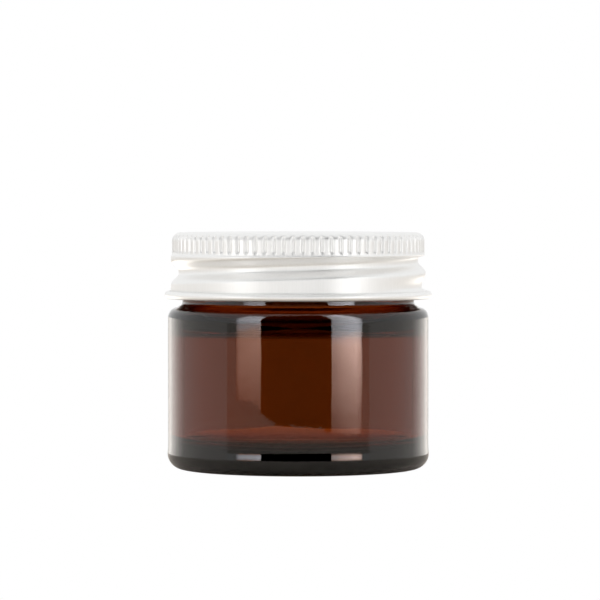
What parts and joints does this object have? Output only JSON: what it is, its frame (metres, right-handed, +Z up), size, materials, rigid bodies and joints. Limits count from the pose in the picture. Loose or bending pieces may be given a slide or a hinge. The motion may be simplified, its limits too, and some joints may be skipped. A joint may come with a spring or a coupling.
{
  "type": "cosmetic cream jar with screw cap",
  "caption": "Small round amber glass cream jar with a knurled aluminium screw cap and a foam sealing liner inside the cap.",
  "frame": {"origin": "centre of the base, on the surface that the jar stands on", "axes": "+Z up along the jar's and the cap's common axis, from the base to the cap's top panel"},
  "size_m": [0.0452, 0.0452, 0.04],
  "materials": {
    "amber_glass": "clear amber soda-lime glass, moulded, fire-polished gloss",
    "satin_aluminium": "satin clear-lacquered drawn aluminium sheet",
    "white_foam": "expanded polyethylene foam with a smooth matt skin"
  },
  "bodies": {
    "jar": {"glass_jar": "amber_glass"},
    "liner": {"foam_liner": "white_foam"},
    "cap": {"screw_cap": "satin_aluminium"}
  },
  "joints": [
    {"name": "cap_rise", "type": "slide", "parent": "jar", "child": "liner", "axis": [0, 0, 1], "range_m": [0, 0.01695]},
    {"name": "cap_turn", "type": "hinge", "parent": "liner", "child": "cap", "pos_m": [0, 0, 0.034], "axis": [0, 0, 1], "range_deg": [0, 1440]}
  ],
  "couplings": [
    {"joint": "cap_rise", "follows": "cap_turn", "m_per_rad": 0.00067376}
  ]
}
